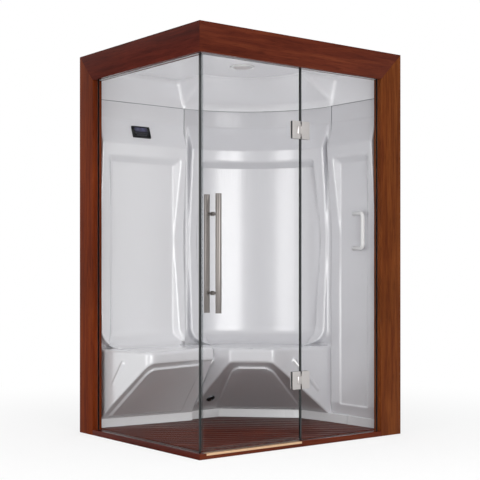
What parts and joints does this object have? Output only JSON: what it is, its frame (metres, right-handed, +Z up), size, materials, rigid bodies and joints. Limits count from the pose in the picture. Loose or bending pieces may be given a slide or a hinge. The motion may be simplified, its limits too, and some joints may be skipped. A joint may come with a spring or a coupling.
{
  "type": "steam sauna cabin",
  "caption": "Corner steam sauna cabin with a timber frame, a glass side and front, a hinged glass door with pull handles, moulded seat walls, a slatted floor and a steam generator behind.",
  "frame": {"origin": "middle of the cabin's plan at floor level", "axes": "+Z up, -Y the front with the door, -X the glass side, +X and +Y the sides that stand against walls"},
  "size_m": [1.44, 1.2265, 2.2],
  "materials": {
    "mahogany": "satin",
    "duckboard": "satin",
    "pine": "raw",
    "acrylic": "gloss",
    "tray_acrylic": "gloss",
    "white_plastic": "gloss",
    "safety_glass": "clear",
    "lamp_glass": "frosted",
    "panel_glass": "gloss",
    "black_plastic": "matte",
    "dark_rubber": "matte",
    "clear_seal": "satin",
    "brushed_steel": "brushed",
    "chromed_brass": "polished",
    "dark_chrome": "polished",
    "anodised_strip": "satin",
    "galvanised_steel": "galvanised",
    "stainless_case": "brushed",
    "copper": "satin",
    "brass": "satin"
  },
  "bodies": {
    "cabin": {"front_fascia": "mahogany", "left_fascia": "mahogany", "right_post": "mahogany", "rear_post": "mahogany", "front_sill": "mahogany", "left_sill": "mahogany", "threshold_strip": "anodised_strip", "floor_tray": "tray_acrylic", "drain_body": "chromed_brass", "drain_grate": "chromed_brass", "duckboard_slats": "duckboard", "duckboard_battens": "duckboard", "back_wall": "acrylic", "corner_wall": "acrylic", "side_wall": "acrylic", "ceiling_cover": "acrylic", "ceiling_seal": "dark_rubber", "module_seals": "dark_rubber", "roof_battens": "pine", "rear_corner_post": "galvanised_steel", "rear_rails": "galvanised_steel", "side_rails": "galvanised_steel", "left_glass": "safety_glass", "front_glass": "safety_glass", "left_glass_seal": "dark_rubber", "front_glass_seal": "dark_rubber", "corner_seal": "clear_seal", "hinge_side_seal": "clear_seal", "upper_fixed_leaf": "brushed_steel", "lower_fixed_leaf": "brushed_steel", "fixed_leaf_clamps": "brushed_steel", "fixed_leaf_pads": "dark_rubber", "fixed_leaf_screws": "brushed_steel", "control_panel_case": "black_plastic", "control_panel_glass": "panel_glass", "grab_handle": "white_plastic", "grab_handle_screws": "brushed_steel", "steam_outlet": "dark_chrome", "steam_pipe": "copper", "steam_generator": "stainless_case", "water_inlet": "brass", "cable_gland": "black_plastic", "lamp_ring": "chromed_brass", "lamp_lens": "lamp_glass", "cover_screws": "galvanised_steel"},
    "door": {"door_glass": "safety_glass", "door_edge_seal": "clear_seal", "door_sweep": "clear_seal", "upper_door_leaf": "brushed_steel", "lower_door_leaf": "brushed_steel", "door_leaf_clamps": "brushed_steel", "door_leaf_pads": "dark_rubber", "door_leaf_screws": "brushed_steel", "hinge_pins": "brushed_steel", "outer_handle": "brushed_steel", "inner_handle": "brushed_steel", "handle_standoffs": "brushed_steel", "handle_bolts": "brushed_steel"}
  },
  "joints": [
    {"name": "door_swing", "type": "hinge", "parent": "cabin", "child": "door", "pos_m": [-0.037, -0.561, 1], "axis": [0, 0, 1], "range_deg": [0, 90]}
  ]
}
